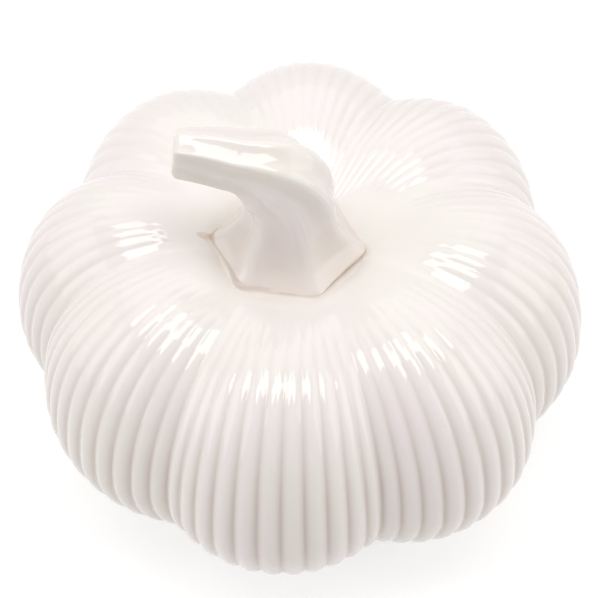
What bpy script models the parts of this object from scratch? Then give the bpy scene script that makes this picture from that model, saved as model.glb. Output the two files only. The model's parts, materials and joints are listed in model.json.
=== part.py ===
"""White glazed ceramic pumpkin: a hollow ribbed body, a twisted stem luted to its crown, four felt feet.

Metres, +Z up. The pumpkin stands on Z = 0 with its axis on X = Y = 0. Azimuths are in degrees, turning
from the front (-Y) towards the right (+X).
"""
import math

import bmesh
import bpy
from mathutils import Vector

# Body outline, taken on the crest of a lobe
CREST_RADIUS = 0.1000       # widest radius
BELLY_HEIGHT = 0.0480       # widest level above the flat base
TOP_RISE = 0.0562           # highest ring of a lobe above the widest level
CROWN_RADIUS = 0.0530       # radius of that highest ring
CROWN_DEPTH = 0.0135        # dip of the crown in the middle, below that ring
KEEL_RADIUS = 0.0364        # radius where the lower curve would turn level
KEEL_BELOW_BASE = 0.0060    # depth under the base where it would do so
SHOULDER_POWER = 2.17       # 2 is an ellipse, more is squarer
BELLY_POWER = 1.85
DISH_POWER = 3.4            # how steeply the crown leaves its middle

# Grooves between the lobes, which a hand-made model leaves a little uneven
GROOVE_AZIMUTHS = (17.3, 63.0, 109.3, 153.8, 197.7, 242.2, 282.3, 329.3)
LOBE_REACH = (0.0013, -0.0008, -0.0003, -0.0020, -0.0006, 0.0001, -0.0024, 0.0007)
GROOVE_SIDE_DEPTH = 0.0090  # at the widest level
GROOVE_TOP_DEPTH = 0.0103   # at the highest ring
GROOVE_KEEL_LIFT = 0.0044   # at the keel
GROOVE_PULL_IN = 0.0013     # inward shift of the highest ring and the keel
GROOVE_SOFTNESS = 0.030     # on the sides, where 0 would be a sharp crease
GROOVE_TOP_SOFTNESS = 0.30
GROOVE_POWER = 1.10
GROOVE_START = 0.30         # section station where the grooves begin on the smooth crown
GROOVE_FULL = 1.65          # station where they reach their full depth

# Ribs
RIBS_PER_LOBE = 11
RIB_DEPTH = 0.0014
RIB_CROWDING = 0.65         # how much closer the ribs stand near a groove
RIB_START = 0.25            # section station where the ribs rise from the smooth crown
RIB_FULL = 2.05             # station where they reach their full depth
RIB_RISE_POWER = 1.5        # 1 would deepen them evenly, more keeps the top smoother
RIB_FADE = 2.75             # station where they begin to fade into the base edge

# Shell
WALL = 0.0050
FLOOR = 0.0060
RECESS_RADIUS = 0.0380      # wiped recess inside the foot ring
RECESS_DEPTH = 0.0020
POUR_HOLE_RADIUS = 0.0150   # casting hole in the middle of the floor
VENT_RADIUS = 0.0015        # firing vent from the stem's hollow into the body

# Stem, with lengths along its centre line from the middle of the crown
STEM_LEFT = 0.0040          # place of the foot's middle, to the left and the front of the body's axis
STEM_FRONT = 0.0050
STEM_OFFSET = (-STEM_LEFT, -STEM_FRONT)
STEM_FOOT_RADIUS = 0.0265
STEM_FOOT_EDGE = 0.0005     # height of the foot's edge over the crown around it
STEM_FLARE = 0.0075         # height in which the foot draws in
STEM_NECK_RADIUS = 0.0164
STEM_ARM_RADIUS = 0.0109    # where the bend ends
STEM_TIP_RADIUS = 0.0083
STEM_BEND_START = 0.0287
STEM_KNEE = 0.0482          # where the neck begins to thin
STEM_BEND_END = 0.0677
STEM_LENGTH = 0.0866
STEM_BEND_ANGLE = 73.5
STEM_TIP_ANGLE = 84.0       # angle of the end cut
STEM_ARM_TWIST = 11.0       # turn of the corners along the arm
STEM_SWAY_RIGHT = 0.0030    # shift of the stalk to the right and the front before it bends to the left
STEM_SWAY_FRONT = 0.0060
STEM_SWAY = (STEM_SWAY_RIGHT, -STEM_SWAY_FRONT)
STEM_SWAY_END = 0.0397
STEM_HOLLOW = 0.040         # draw-in of a flat between two corners, as a share of the radius
STEM_STALK_HOLLOW = 0.105   # more of it half way up
STEM_CORNER_ROUND = 0.125   # reach of the rounding, as a share of a flat
STEM_STALK_ROUND = 0.175    # more of it half way up
STEM_TIP_ROUND = 0.0022
TIP_TURN = 1.35             # radians of that round before the flat end
STEM_BORE_RADIUS = 0.0080   # hollow at the foot
STEM_BORE_END_RADIUS = 0.0040
STEM_TIP_WALL = 0.0120

# Corners of the stem: azimuth and reach at the foot, then at the end of the bend, where the last one sinks
# into a flat, and the hollow of the flat that follows each corner
STEM_CORNERS = (
    (83.0, 1.05, 36.0, 1.00, 1.0),
    (144.0, 1.00, 84.0, 1.00, 1.0),
    (204.0, 1.00, 146.0, 1.00, 1.0),
    (264.0, 1.02, 221.0, 1.00, 0.1),
    (320.0, 1.05, 296.0, 1.10, 1.2),
    (383.0, 1.00, 341.0, 0.65, 1.0),
)
ROUNDING = ((-1.0, 0.125), (-0.5, 0.25), (0.0, 0.25), (0.5, 0.25), (1.0, 0.125))

# Slip that joins them
SLIP_THICKNESS = 0.0007
SLIP_SQUEEZE = 0.0008       # how far it stands out round the foot
SLIP_GAP = 0.00035          # upright, on a sloping seat

# Felt pads
PAD_RADIUS = 0.0070
PAD_THICKNESS = 0.0025
PAD_EDGE = 0.0004
PAD_GAP = 0.0003
PAD_CIRCLE_RADIUS = 0.0500
PAD_LOBES = {"front": 7, "right": 1, "back": 3, "left": 5}

# Mesh density
BODY_STATIONS = (0.3, 0.6, 0.8, 1.0, 1.17, 1.33, 1.5, 1.67, 1.83, 2.0, 2.2, 2.4, 2.6, 2.8, 3.0)
CAVITY_STATIONS = (0.5, 1.0, 1.25, 1.5, 1.75, 2.0, 2.35, 2.7, 3.0)
CAVITY_STEPS = 6            # round one lobe
STEM_STEPS = 6              # round one side of the stem
STALK_STEPS = 5
STALK_CROWDING = 1.4        # rings stand closer in the flare of the foot
BEND_STEPS = 9
ARM_STEPS = 2
TIP_STEPS = 3
ROUND_STEPS = 32
BORE_STEPS = 16
PATH_STEPS = 60             # along the stem's centre line
SMOOTH_ANGLE = 40.0         # edges sharper than this stay crisp
TINY = 1e-4                 # station step for a slope

LOBES = len(GROOVE_AZIMUTHS)
BASE_Z = PAD_THICKNESS + PAD_GAP
BELLY_Z = BASE_Z + BELLY_HEIGHT
CROWN_Z = BELLY_Z + TOP_RISE - CROWN_DEPTH


def smooth_step(low, high, value):
    """0 below low, 1 above high, and a smooth ramp between them."""
    share = min(max((value - low) / (high - low), 0.0), 1.0)
    return share * share * (3.0 - 2.0 * share)


def polar(radius, azimuth):
    """X and Y of a point at an azimuth in radians."""
    return radius * math.sin(azimuth), -radius * math.cos(azimuth)


def lobe_span(lobe):
    """Azimuths, in degrees, of the two grooves beside a lobe."""
    start = GROOVE_AZIMUTHS[lobe]
    width = (GROOVE_AZIMUTHS[(lobe + 1) % LOBES] - start) % 360.0
    return start, start + width


def groove_rise(station):
    """0 on the smooth crown, and 1 where the grooves are at their full depth."""
    return smooth_step(GROOVE_START, GROOVE_FULL, station)


def groove_share(across, station):
    """0 on a lobe's crest and 1 in the groove; across runs from 0 to 1 over the lobe."""
    softness = GROOVE_TOP_SOFTNESS + (GROOVE_SOFTNESS - GROOVE_TOP_SOFTNESS) * groove_rise(station)
    bulge = math.hypot(math.sin(math.pi * across), softness)
    full = math.hypot(1.0, softness)
    share = (full - bulge) / (full - softness)
    return max(share, 0.0) ** GROOVE_POWER


def outline(station, groove, inset):
    """Radius and height of the section: crown 0 to 1, shoulder 1 to 2, lower belly 2 to 3 at the base."""
    side = CREST_RADIUS - inset - groove * GROOVE_SIDE_DEPTH
    top = TOP_RISE - inset - groove * GROOVE_TOP_DEPTH
    crown = CROWN_RADIUS - groove * GROOVE_PULL_IN
    keel = KEEL_RADIUS - groove * GROOVE_PULL_IN
    base = BELLY_HEIGHT - (FLOOR if inset else 0.0)
    depth = base + KEEL_BELOW_BASE - groove * GROOVE_KEEL_LIFT
    if station < 1.0:
        middle = TOP_RISE - inset - CROWN_DEPTH
        rise = math.sin(0.5 * math.pi * station) ** DISH_POWER
        return crown * station, BELLY_Z + middle + (top - middle) * rise
    if station < 2.0:
        angle = 0.5 * math.pi * (station - 1.0)
        radius = crown + (side - crown) * math.sin(angle) ** (2.0 / SHOULDER_POWER)
        return radius, BELLY_Z + top * math.cos(angle) ** (2.0 / SHOULDER_POWER)
    last = math.asin((base / depth) ** (0.5 * BELLY_POWER))
    angle = last * (station - 2.0)
    radius = keel + (side - keel) * math.cos(angle) ** (2.0 / BELLY_POWER)
    return radius, BELLY_Z - depth * math.sin(angle) ** (2.0 / BELLY_POWER)


def rib_depth_at(station):
    """Depth of the valleys between ribs along the section."""
    rise = min(max((station - RIB_START) / (RIB_FULL - RIB_START), 0.0), 1.0)
    return RIB_DEPTH * rise ** RIB_RISE_POWER * (1.0 - smooth_step(RIB_FADE, 3.0, station))


def body_point(station, lobe, rib, inset):
    """Point on the body; rib counts 0 to RIBS_PER_LOBE across a lobe, with whole numbers in the valleys."""
    even = 2.0 * rib / RIBS_PER_LOBE - 1.0
    across = 0.5 + 0.5 * math.sin(RIB_CROWDING * even) / math.sin(RIB_CROWDING)
    share = groove_share(across, station)
    groove = share * groove_rise(station)
    radius, height = outline(station, groove, inset)
    if inset == 0.0:
        before = outline(station - TINY, groove, inset)
        after = outline(min(station + TINY, 3.0), groove, inset)
        run, drop = after[0] - before[0], before[1] - after[1]
        dip = rib_depth_at(station) * (1.0 - abs(math.sin(math.pi * rib))) / math.hypot(run, drop)
        radius -= dip * drop
        height -= dip * run
    radius *= 1.0 + (1.0 - share) * LOBE_REACH[lobe] / CREST_RADIUS
    start, end = lobe_span(lobe)
    return Vector((*polar(radius, math.radians(start + across * (end - start))), height))


def body_form(name, steps_per_lobe, stations, inset):
    """Closed lobed form, shaped from a sphere whose rings take the given stations."""
    steps = LOBES * steps_per_lobe
    bands = len(stations) + 1
    mesh = bpy.data.meshes.new(name)
    form = bmesh.new()
    bmesh.ops.create_uvsphere(form, u_segments=steps, v_segments=bands, radius=1.0)
    for vert in form.verts:
        ring = round(bands * math.acos(min(max(vert.co.z, -1.0), 1.0)) / math.pi)
        step = round(steps * math.atan2(vert.co.y, vert.co.x) / math.tau) % steps
        if ring == 0:
            vert.co = (0.0, 0.0, CROWN_Z - inset)
        elif ring == bands:
            vert.co = (0.0, 0.0, BASE_Z + (FLOOR if inset else 0.0))
        else:
            rib = RIBS_PER_LOBE * (step % steps_per_lobe) / steps_per_lobe
            vert.co = body_point(stations[ring - 1], step // steps_per_lobe, rib, inset)
    bmesh.ops.triangulate(form, faces=form.faces, quad_method="FIXED")
    form.to_mesh(mesh)
    form.free()
    return mesh


def cylinder(name, radius, low, high, centre=(0.0, 0.0)):
    """Upright cylinder between two heights."""
    mesh = bpy.data.meshes.new(name)
    form = bmesh.new()
    bmesh.ops.create_cone(form, cap_ends=True, segments=ROUND_STEPS, radius1=radius, radius2=radius,
                          depth=high - low)
    bmesh.ops.translate(form, verts=form.verts, vec=(*centre, 0.5 * (low + high)))
    form.to_mesh(mesh)
    form.free()
    return mesh


def lofted(name, sides, stations, place):
    """Closed bar, shaped from a cylinder cut into one ring for each station."""
    mesh = bpy.data.meshes.new(name)
    form = bmesh.new()
    spans = len(stations) - 1
    bmesh.ops.create_cone(form, cap_ends=True, segments=sides, radius1=1.0, radius2=1.0, depth=spans)
    bmesh.ops.translate(form, verts=form.verts, vec=(0.0, 0.0, 0.5 * spans))
    for level in range(1, spans):
        geometry = form.verts[:] + form.edges[:] + form.faces[:]
        bmesh.ops.bisect_plane(form, geom=geometry, plane_co=(0.0, 0.0, level), plane_no=(0.0, 0.0, 1.0))
    for vert in form.verts:
        vert.co = place(stations[round(vert.co.z)], math.atan2(vert.co.y, vert.co.x))
    form.to_mesh(mesh)
    form.free()
    return mesh


FOOT_STATION = STEM_FOOT_RADIUS / CROWN_RADIUS
FOOT_LEVEL = outline(FOOT_STATION, 0.0, 0.0)[1] - CROWN_Z + 2.0 * SLIP_GAP + SLIP_THICKNESS + STEM_FOOT_EDGE


def stem_lean(along):
    """Lean of the stem's section to the left, in radians."""
    bend = STEM_BEND_ANGLE * smooth_step(STEM_BEND_START, STEM_BEND_END, along)
    tip = (STEM_TIP_ANGLE - STEM_BEND_ANGLE) * smooth_step(STEM_BEND_END, STEM_LENGTH, along)
    return math.radians(bend + tip)


def stem_centre(along):
    """Point on the stem's centre line, reached in short steps from the middle of the crown."""
    point = Vector((*STEM_OFFSET, CROWN_Z))
    stride = along / PATH_STEPS
    for step in range(PATH_STEPS):
        lean = stem_lean((step + 0.5) * stride)
        point += stride * Vector((-math.sin(lean), 0.0, math.cos(lean)))
    return point + smooth_step(FOOT_LEVEL, STEM_SWAY_END, along) * Vector((*STEM_SWAY, 0.0))


def arm_share(along):
    """0 up to the end of the bend, and 1 at the tip."""
    return max(along - STEM_BEND_END, 0.0) / (STEM_LENGTH - STEM_BEND_END)


def stem_radius(along):
    """Reach of the corners: flared foot, neck, arm and rounded tip."""
    radius = STEM_NECK_RADIUS
    radius += (STEM_ARM_RADIUS - STEM_NECK_RADIUS) * smooth_step(STEM_KNEE, STEM_BEND_END, along)
    radius += (STEM_TIP_RADIUS - STEM_ARM_RADIUS) * arm_share(along)
    flare = math.exp(-max(along - FOOT_LEVEL, 0.0) / STEM_FLARE)
    radius += (STEM_FOOT_RADIUS - STEM_NECK_RADIUS) * flare
    past = max(along - STEM_LENGTH + STEM_TIP_ROUND, 0.0) / STEM_TIP_ROUND
    return radius - STEM_TIP_ROUND * (1.0 - math.sqrt(max(1.0 - past * past, 0.0)))


def stem_section(along, angle):
    """Point of the stem's section, with X outwards from the bend and Y to the back."""
    turn = min(max((along - FOOT_LEVEL) / (STEM_BEND_END - FOOT_LEVEL), 0.0), 1.0)
    climb = smooth_step(0.0, 1.0, turn)
    middle = math.sin(math.pi * turn)
    hollow = STEM_HOLLOW + STEM_STALK_HOLLOW * middle
    rounding = STEM_CORNER_ROUND + STEM_STALK_ROUND * middle
    corners = []
    for foot_azimuth, foot_reach, arm_azimuth, arm_reach, _ in STEM_CORNERS:
        azimuth = foot_azimuth + (arm_azimuth - foot_azimuth) * climb + STEM_ARM_TWIST * arm_share(along)
        reach = foot_reach + (arm_reach - foot_reach) * climb
        corners.append(Vector(polar(reach, math.radians(azimuth))))
    point = Vector((0.0, 0.0))
    for shift, weight in ROUNDING:
        place = len(corners) * angle / math.tau + shift * rounding
        number = math.floor(place) % len(corners)
        along_flat = place - math.floor(place)
        flat = corners[number].lerp(corners[(number + 1) % len(corners)], along_flat)
        draw_in = hollow * STEM_CORNERS[number][4]
        point += weight * (1.0 - 4.0 * draw_in * along_flat * (1.0 - along_flat)) * flat
    return stem_radius(along) * point


def lean_over(along, point):
    """Place of a section point that leans to the left with the stem."""
    lean = stem_lean(along)
    return stem_centre(along) + Vector((math.cos(lean) * point.x, point.y, math.sin(lean) * point.x))


def stem_point(along, angle):
    """Point on the stem's outside."""
    return lean_over(along, stem_section(along, angle))


def bore_point(along, angle):
    """Point on the wall of the stem's hollow."""
    share = max(along, 0.0) / (STEM_LENGTH - STEM_TIP_WALL)
    radius = STEM_BORE_RADIUS + share * (STEM_BORE_END_RADIUS - STEM_BORE_RADIUS)
    return lean_over(along, Vector(polar(radius, angle)))


def slip_point(along, angle):
    """Point on the upright edge of the slip, which follows the foot's outline."""
    foot = stem_section(FOOT_LEVEL, angle)
    return stem_centre(0.0) + Vector((0.0, 0.0, along)) + (foot + SLIP_SQUEEZE * foot.normalized()).to_3d()


def spread(start, end, count):
    """Evenly spaced values after start, up to and including end."""
    return [start + (end - start) * step / count for step in range(1, count + 1)]


def stem_stations():
    """Rings of the stem: foot, flare, stalk, bend, arm and rounded tip."""
    upright = STEM_BEND_START - FOOT_LEVEL
    stalk = [FOOT_LEVEL + upright * share ** STALK_CROWDING for share in spread(0.0, 1.0, STALK_STEPS)]
    bend = spread(STEM_BEND_START, STEM_BEND_END, BEND_STEPS)
    arm = spread(STEM_BEND_END, STEM_LENGTH - STEM_TIP_ROUND, ARM_STEPS)
    tip = [arm[-1] + STEM_TIP_ROUND * math.sin(turn) for turn in spread(0.0, TIP_TURN, TIP_STEPS)]
    return [-WALL, FOOT_LEVEL, *stalk, *bend, *arm, *tip]


def bore_stations():
    """Rings of the stem's hollow."""
    bend = spread(STEM_BEND_START, STEM_BEND_END, BEND_STEPS)
    return [-WALL, 0.0, STEM_BEND_START, *bend, STEM_LENGTH - STEM_TIP_WALL]


def new_collection(name):
    """Collection linked to the scene."""
    collection = bpy.data.collections.new(name)
    bpy.context.scene.collection.children.link(collection)
    return collection


def glaze(name, colour, roughness):
    """Plain non-metal finish."""
    material = bpy.data.materials.new(name)
    material.use_nodes = True
    shader = material.node_tree.nodes["Principled BSDF"]
    shader.inputs["Base Color"].default_value = (*colour, 1.0)
    shader.inputs["Roughness"].default_value = roughness
    shader.inputs["Metallic"].default_value = 0.0
    return material


def add_piece(mesh, material):
    """One solid of the pumpkin, named for its mesh."""
    piece = bpy.data.objects.new(mesh.name, mesh)
    mesh.materials.append(material)
    mesh.shade_smooth()
    mesh.set_sharp_from_angle(angle=math.radians(SMOOTH_ANGLE))
    PIECES.objects.link(piece)
    return piece


def add_cutter(mesh, lift=0.0):
    """Form that only cuts or trims a piece, raised by lift."""
    cutter = bpy.data.objects.new(mesh.name, mesh)
    cutter.location.z = lift
    cutter.hide_render = True
    cutter.display_type = "WIRE"
    CUTTERS.objects.link(cutter)
    return cutter


def cut(piece, cutter, operation="DIFFERENCE"):
    """Boolean of a piece with a cutter."""
    boolean = piece.modifiers.new(cutter.name, "BOOLEAN")
    boolean.operation = operation
    boolean.solver = "EXACT"
    boolean.object = cutter


def make_body():
    """Hollow body with its casting hole, wiped recess and firing vent."""
    outside = body_form("body_shell", 2 * RIBS_PER_LOBE, BODY_STATIONS, 0.0)
    body = add_piece(outside, glaze("white_glaze_body", (0.86, 0.85, 0.83), 0.12))
    cavity = body_form("body_cavity", CAVITY_STEPS, CAVITY_STATIONS, WALL)
    cut(body, add_cutter(cavity))
    recess_top = BASE_Z + RECESS_DEPTH
    cut(body, add_cutter(cylinder("foot_recess", RECESS_RADIUS, BASE_Z - FLOOR, recess_top)))
    cut(body, add_cutter(cylinder("pour_hole", POUR_HOLE_RADIUS, BASE_Z - WALL, BASE_Z + 2.0 * FLOOR)))
    cut(body, add_cutter(cylinder("vent_hole", VENT_RADIUS, CROWN_Z - 2.0 * WALL, CROWN_Z + 2.0 * WALL,
                                  STEM_OFFSET)))


def make_stem():
    """Stalk trimmed to sit on the slip, with its hollow, and the slip itself on the crown."""
    sides = len(STEM_CORNERS) * STEM_STEPS
    stem = add_piece(lofted("stem", sides, stem_stations(), stem_point),
                     glaze("white_glaze_stem", (0.85, 0.84, 0.82), 0.12))
    slip = add_piece(lofted("stem_slip_joint", sides, (-WALL, 2.0 * CROWN_DEPTH), slip_point),
                     glaze("cream_slip", (0.80, 0.76, 0.69), 0.25))
    crown = bpy.data.meshes["body_shell"]
    slip_top = SLIP_GAP + SLIP_THICKNESS
    cut(slip, add_cutter(crown, slip_top), "INTERSECT")
    cut(slip, add_cutter(crown, SLIP_GAP))
    cut(stem, add_cutter(crown, slip_top + SLIP_GAP))
    bore = add_cutter(lofted("stem_bore", BORE_STEPS, bore_stations(), bore_point))
    cut(stem, bore)
    cut(slip, bore)


def make_pads():
    """Felt pads under the middle of every second lobe."""
    for side, lobe in PAD_LOBES.items():
        start, end = lobe_span(lobe)
        centre = polar(PAD_CIRCLE_RADIUS, math.radians(0.5 * (start + end)))
        pad = add_piece(cylinder("foot_pad_" + side, PAD_RADIUS, 0.0, PAD_THICKNESS, centre),
                        glaze("felt_" + side, (0.52, 0.47, 0.40), 0.95))
        edge = pad.modifiers.new("soft_edge", "BEVEL")
        edge.width = PAD_EDGE
        edge.segments = 1


for leftover in list(bpy.data.objects):
    bpy.data.objects.remove(leftover, do_unlink=True)
PIECES = new_collection("ceramic_pumpkin")
CUTTERS = new_collection("cutters")
make_body()
make_stem()
make_pads()
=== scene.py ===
# %% [markdown]
# # A white glazed pumpkin
#
# The real object is a hollow earthenware pumpkin, cast in a plaster mould, with fine ribs on eight lobes
# and a twisted stem stuck to its crown with liquid clay. It is dipped in one glossy white glaze.
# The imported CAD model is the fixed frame: it gives every place and size, in metres with Z up. This lesson
# puts finer pieces over it, gives them their finishes, and sets up the light and the camera.

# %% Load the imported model
import json
import math

import bmesh
import bpy
from mathutils import Matrix, Vector, noise

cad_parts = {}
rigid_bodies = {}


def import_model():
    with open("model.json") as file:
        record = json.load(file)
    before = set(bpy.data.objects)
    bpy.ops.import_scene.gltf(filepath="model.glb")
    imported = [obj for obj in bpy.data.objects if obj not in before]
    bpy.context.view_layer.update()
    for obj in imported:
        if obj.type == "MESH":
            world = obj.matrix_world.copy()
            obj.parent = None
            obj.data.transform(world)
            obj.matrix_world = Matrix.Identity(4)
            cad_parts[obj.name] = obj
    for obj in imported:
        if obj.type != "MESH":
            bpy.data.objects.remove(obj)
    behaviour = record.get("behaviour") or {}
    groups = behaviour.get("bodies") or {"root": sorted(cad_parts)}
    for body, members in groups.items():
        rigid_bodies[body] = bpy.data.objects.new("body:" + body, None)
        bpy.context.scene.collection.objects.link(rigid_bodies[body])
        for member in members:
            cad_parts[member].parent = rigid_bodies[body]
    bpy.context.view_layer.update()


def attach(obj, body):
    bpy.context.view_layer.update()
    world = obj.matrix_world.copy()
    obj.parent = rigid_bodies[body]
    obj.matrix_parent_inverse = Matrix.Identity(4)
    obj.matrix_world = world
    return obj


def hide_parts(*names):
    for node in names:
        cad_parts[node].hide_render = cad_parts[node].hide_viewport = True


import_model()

# %% [markdown]
# ## Camera
#
# The photograph was taken with a long lens from above the front, so lines that run back hardly draw
# together. The elevation, the distance and the lens come from fitting the outline and the ribs of the
# picture. The camera could use a lens shift to put the object low in the frame, but a shift stays on when
# somebody turns the camera, so it is tipped up a little instead.

# %% Camera
SENSOR_WIDTH = 36.0       # mm
LENS = 182.3              # mm
CAMERA_ELEVATION = math.radians(52.20)
CAMERA_DISTANCE = 1.0739
CAMERA_ROLL = math.radians(-0.886)
CAMERA_TIP = math.radians(0.366)
BELLY_Z = 0.0508          # widest level of the body

camera = bpy.data.objects.new("camera", bpy.data.cameras.new("camera"))
bpy.context.scene.collection.objects.link(camera)
bpy.context.scene.camera = camera
camera.data.lens = LENS
camera.data.sensor_width = SENSOR_WIDTH
back = Vector((0.0, -math.cos(CAMERA_ELEVATION), math.sin(CAMERA_ELEVATION)))
stand = Vector((0.0, 0.0, BELLY_Z)) + CAMERA_DISTANCE * back
turns = Matrix.Rotation(0.5 * math.pi - CAMERA_ELEVATION, 4, "X")
turns = turns @ Matrix.Rotation(CAMERA_ROLL, 4, "Z") @ Matrix.Rotation(CAMERA_TIP, 4, "X")
camera.matrix_world = Matrix.Translation(stand) @ turns
print("camera stands at", [round(x, 3) for x in stand])

# %% [markdown]
# ## Helpers for materials
#
# Colours are easiest to read as web colours, but a shader adds light, so it needs linear values. One
# function turns the first into the second. Another adds a node to a material: its settings, and for each
# socket either a value or the socket to link. A third starts a material.

# %% Helpers for materials
def linear(web_colour):
    """RGBA in linear light from a web colour such as #F3EDE8."""
    shares = [int(web_colour[i:i + 2], 16) / 255.0 for i in (1, 3, 5)]
    return (*[s / 12.92 if s <= 0.04045 else ((s + 0.055) / 1.055) ** 2.4 for s in shares], 1.0)


def add_node(tree, kind, inputs, **settings):
    """New node with its settings; inputs maps a socket's name or number to a value or an output socket."""
    made = tree.nodes.new(kind)
    for name, value in settings.items():
        setattr(made, name, value)
    for name, value in inputs.items():
        if isinstance(value, bpy.types.NodeSocket):
            tree.links.new(value, made.inputs[name])
        else:
            made.inputs[name].default_value = value
    return made


def new_material(name):
    """Empty material, its node tree and its output."""
    material = bpy.data.materials.new(name)
    material.use_nodes = True
    material.node_tree.nodes.clear()
    return material, material.node_tree, material.node_tree.nodes.new("ShaderNodeOutputMaterial")


print("mid grey in linear light:", round(linear("#808080")[0], 3))

# %% [markdown]
# ## Glaze
#
# The finish is an opaque white glaze, melted to a glass at about 1050 degrees over a cream body. As it
# melts it runs off the crests and gathers in the valleys, so the crests are clean, drifting between a rose
# white and a cream white. The valleys are painted a little darker and warmer: partly the thicker glaze,
# and partly painted shade that deepens the shading of the ribs. Its skin isn't quite level: it has
# the gentle ripple of orange peel, and a few tiny specks of iron from the clay show through.
# The colour could be painted by height, but the melt follows the form, so each mesh carries a number for
# the deeper tone, that is 0 on a crest and 1 in a crease, and the shader mixes the two tones by it.
# The deeper tone in a crease is painted shade as well as thicker glaze.

# %% Glaze material
RIPPLE = 0.006            # width of one swell of the glaze's skin
RIPPLE_HEIGHT = 0.00012
RIPPLE_STRENGTH = 0.5
CLOUD = 0.045             # width of a patch where the glaze is thicker
CLOUD_DRIFT = (0.35, 0.65)          # cloud values between which one white drifts into the other
CLOUD_SHINE = (0.3, 0.7)            # and those between which the roughness changes
GLAZE_ROUGHNESS = (0.04, 0.07)      # a melted glaze is nearly a mirror
GLAZE_IOR = 1.60          # tin glaze, a heavy glass
SPECK_SPACING = 0.010
SPECK_EDGE = (0.02, 0.05)           # inner and outer edge of a speck, as shares of the spacing
SPECK_STRENGTH = 0.25
SPECK_COLOUR = "#D8CCBE"
WHITES = ("#F6F1F1", "#F4F3EC")     # rose white and cream white


def glaze(name, pool_and_shade_colour):
    """Glossy white glaze over earthenware, whose crests drift between two whites."""
    material, tree, out = new_material(name)
    place = add_node(tree, "ShaderNodeTexCoord", {}).outputs["Object"]
    # The deeper tone mixed in here is thicker glaze and painted shade in valleys and creases.
    pool_and_shade = add_node(tree, "ShaderNodeAttribute", {}, attribute_name="glaze_pool_and_shade").outputs["Fac"]
    cloud = add_node(tree, "ShaderNodeTexNoise", {"Vector": place, "Scale": 1.0 / CLOUD, "Detail": 3.0})
    drift = add_node(tree, "ShaderNodeMapRange", {
        "Value": cloud.outputs["Fac"], "From Min": CLOUD_DRIFT[0], "From Max": CLOUD_DRIFT[1]})
    crest = add_node(tree, "ShaderNodeMix", {
        0: drift.outputs["Result"], 6: linear(WHITES[0]), 7: linear(WHITES[1])}, data_type="RGBA")
    tone = add_node(tree, "ShaderNodeMix", {
        0: pool_and_shade, 6: crest.outputs[2], 7: linear(pool_and_shade_colour)}, data_type="RGBA")
    cells = add_node(tree, "ShaderNodeTexVoronoi", {"Vector": place, "Scale": 1.0 / SPECK_SPACING})
    speck = add_node(tree, "ShaderNodeMapRange", {
        "Value": cells.outputs["Distance"], "From Min": SPECK_EDGE[0], "From Max": SPECK_EDGE[1],
        "To Min": SPECK_STRENGTH, "To Max": 0.0})
    specked = add_node(tree, "ShaderNodeMix", {
        0: speck.outputs["Result"], 6: tone.outputs[2], 7: linear(SPECK_COLOUR)}, data_type="RGBA")
    ripple = add_node(tree, "ShaderNodeTexNoise", {"Vector": place, "Scale": 1.0 / RIPPLE, "Detail": 1.0})
    skin = add_node(tree, "ShaderNodeBump", {
        "Height": ripple.outputs["Fac"], "Strength": RIPPLE_STRENGTH, "Distance": RIPPLE_HEIGHT})
    shine = add_node(tree, "ShaderNodeMapRange", {
        "Value": cloud.outputs["Fac"], "From Min": CLOUD_SHINE[0], "From Max": CLOUD_SHINE[1],
        "To Min": GLAZE_ROUGHNESS[0], "To Max": GLAZE_ROUGHNESS[1]})
    shader = add_node(tree, "ShaderNodeBsdfPrincipled", {
        "Base Color": specked.outputs[2], "Roughness": shine.outputs["Result"], "IOR": GLAZE_IOR,
        "Normal": skin.outputs["Normal"]})
    tree.links.new(shader.outputs["BSDF"], out.inputs["Surface"])
    return material


# Second colour: the deeper tone of valleys and creases, partly thicker glaze and partly painted shade.
body_glaze = glaze("white_tin_glaze_body", "#D9D0C8")
stem_glaze = glaze("white_tin_glaze_stem", "#E4D8CE")
print("glazes:", body_glaze.name, stem_glaze.name)

# %% [markdown]
# ## Bisque
#
# The underside stands in the kiln, so its glaze is wiped off and the bare fired clay shows. Bare
# earthenware is matt and slightly sandy, with a grain of a few tenths of a millimetre. The grain here is
# 0.6 mm, as coarse as it must be to show in the picture.

# %% Bisque material
GRAIN = 0.0006
GRAIN_HEIGHT = 0.0001

bisque, tree, out = new_material("bare_earthenware")
place = add_node(tree, "ShaderNodeTexCoord", {}).outputs["Object"]
grain = add_node(tree, "ShaderNodeTexNoise", {"Vector": place, "Scale": 1.0 / GRAIN, "Detail": 2.0})
sand = add_node(tree, "ShaderNodeMix", {
    0: grain.outputs["Fac"], 6: linear("#E9DFCF"), 7: linear("#D3C4AD")}, data_type="RGBA")
pits = add_node(tree, "ShaderNodeBump", {
    "Height": grain.outputs["Fac"], "Strength": 0.6, "Distance": GRAIN_HEIGHT})
shader = add_node(tree, "ShaderNodeBsdfPrincipled", {
    "Base Color": sand.outputs[2], "Roughness": 0.85, "IOR": 1.5, "Normal": pits.outputs["Normal"]})
tree.links.new(shader.outputs["BSDF"], out.inputs["Surface"])
print("bare clay:", bisque.name)

# %% [markdown]
# ## Section of the body
#
# A pumpkin's section has three parts: the dished crown, the shoulder and the lower belly. Each part is
# a superellipse, an ellipse whose power makes it squarer or rounder. The section is drawn once on the
# crest of a lobe and once in a groove, and the surface blends from one to the other.

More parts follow.
